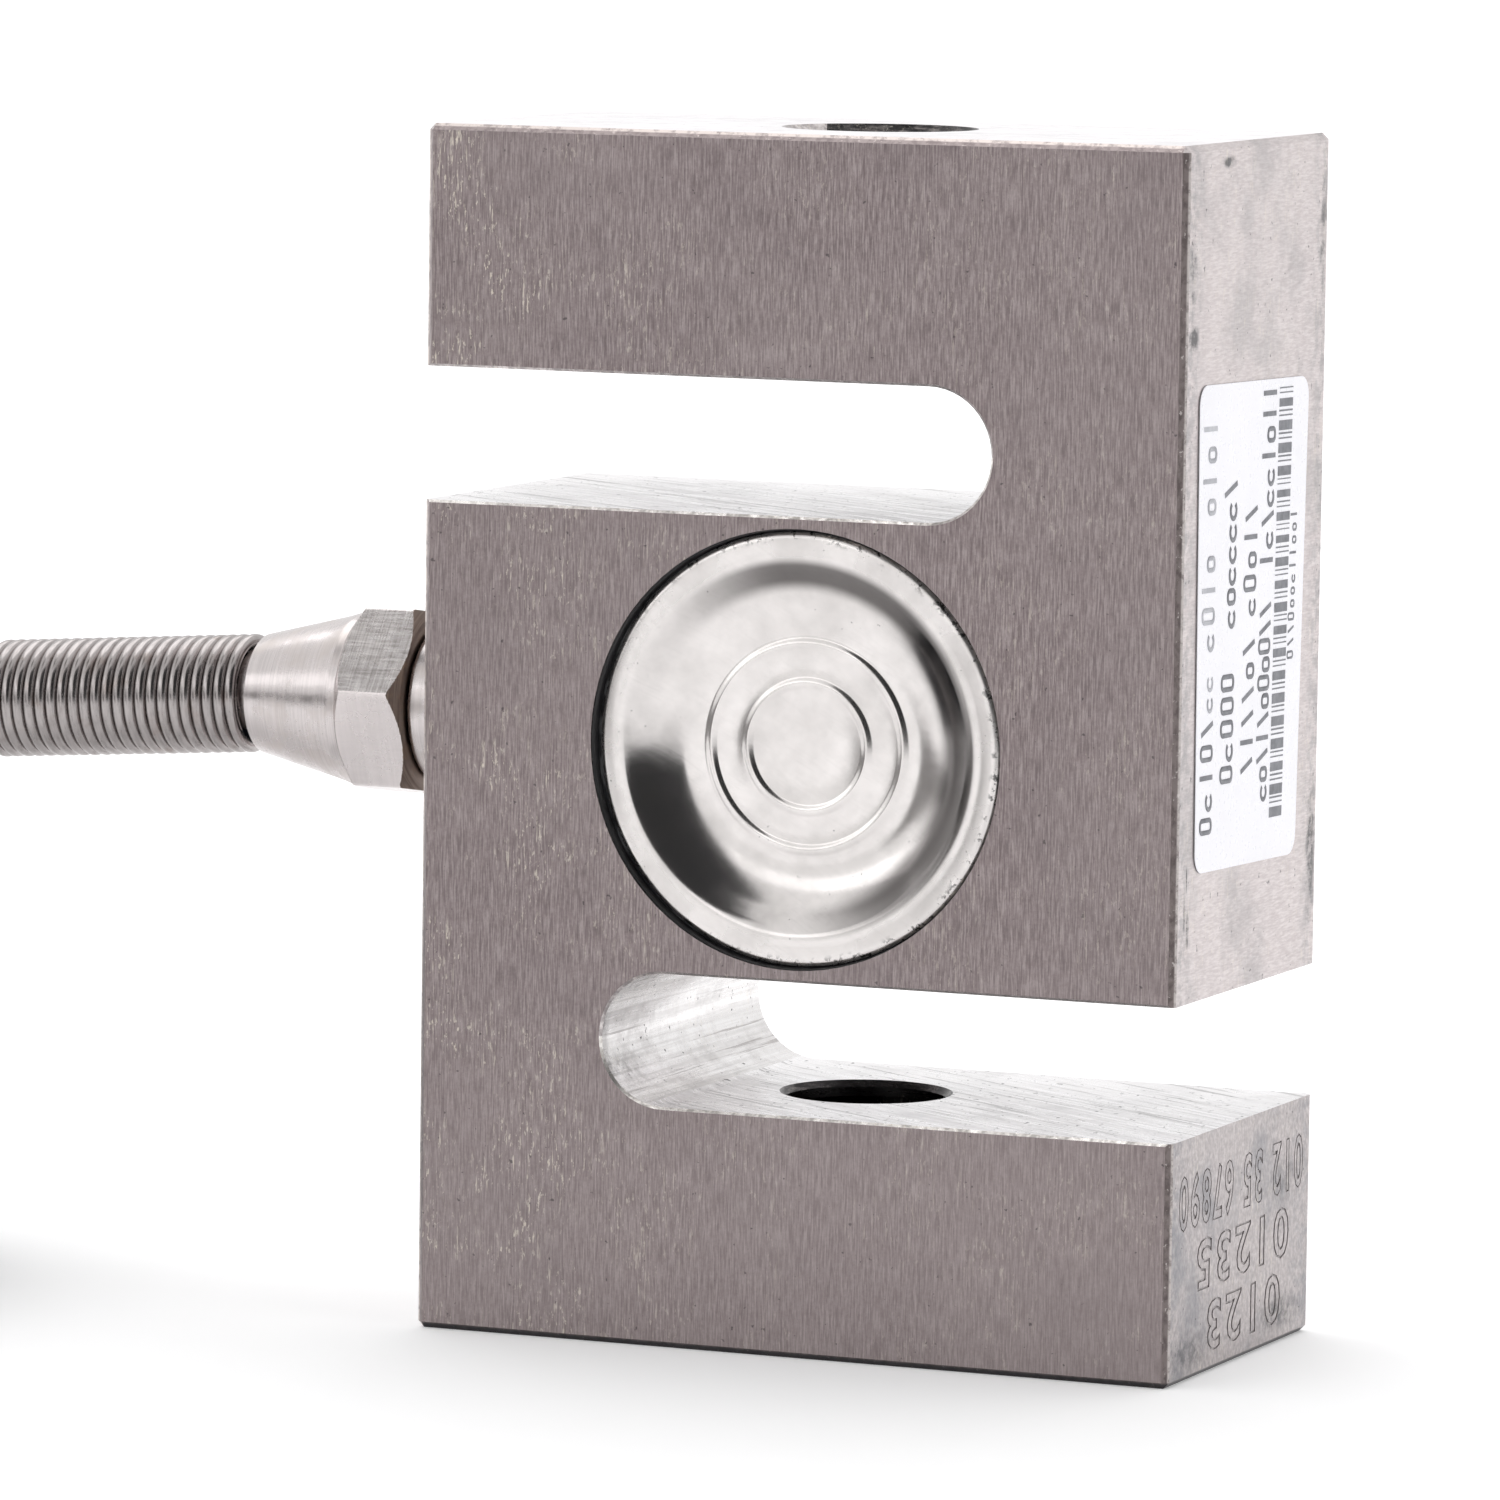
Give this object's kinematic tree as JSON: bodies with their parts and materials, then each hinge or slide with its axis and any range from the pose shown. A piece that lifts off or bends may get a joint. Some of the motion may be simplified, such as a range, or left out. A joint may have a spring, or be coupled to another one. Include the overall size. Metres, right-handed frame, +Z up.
{
  "type": "s type load cell",
  "caption": "S-shaped load cell with opposed slots, sealed gauge pockets, threaded load holes on one axis, and a side cable gland with a spring strain relief.",
  "frame": {"origin": "on the load axis, in the plane of the base", "axes": "+Z up along the load axis, +X towards the labelled face, away from the cable, -Y towards the front pocket"},
  "size_m": [0.1872, 0.0588, 0.0762],
  "materials": {
    "machined_steel": "nickel plated, ground front and back, milled slots",
    "cup_steel": "drawn sheet, polished",
    "sealant": "black, satin",
    "gauge_foil": "amber film with foil grids",
    "board": "solder masked, tinned pads",
    "lead_wire": "tinned",
    "gland_metal": "nickel plated, satin",
    "gland_rubber": "moulded",
    "gasket_fibre": "flat",
    "spring_wire": "drawn wire, bright",
    "label_film": "white film, grey print",
    "cable_jacket": "black, satin",
    "tie": "black, coated",
    "drain": "tinned, stranded",
    "core_red": "thin insulation",
    "core_black": "thin insulation",
    "core_green": "thin insulation",
    "core_white": "thin insulation"
  },
  "bodies": {
    "root": {"spring_element": "machined_steel", "front_seal_cup": "cup_steel", "front_sealant_ring": "sealant", "front_strain_gauge": "gauge_foil", "front_terminal_board": "board", "front_gauge_leads": "lead_wire", "rear_seal_cup": "cup_steel", "rear_sealant_ring": "sealant", "rear_strain_gauge": "gauge_foil", "rear_terminal_board": "board", "rear_gauge_leads": "lead_wire", "inner_core_red": "core_red", "inner_core_black": "core_black", "inner_core_green": "core_green", "inner_core_white": "core_white", "end_core_red": "core_red", "end_core_black": "core_black", "end_core_green": "core_green", "end_core_white": "core_white", "upper_bridge_jumper": "core_white", "lower_bridge_jumper": "core_white", "gland_gasket": "gasket_fibre", "gland_body": "gland_metal", "gland_bush": "gland_rubber", "gland_washer": "gland_metal", "gland_cap_nut": "gland_metal", "strain_relief_spring": "spring_wire", "rating_label": "label_film", "cable": "cable_jacket", "cable_hank": "cable_jacket", "cable_tail": "cable_jacket", "back_hank_tie": "tie", "front_hank_tie": "tie", "end_drain_wire": "drain"}
  },
  "joints": []
}
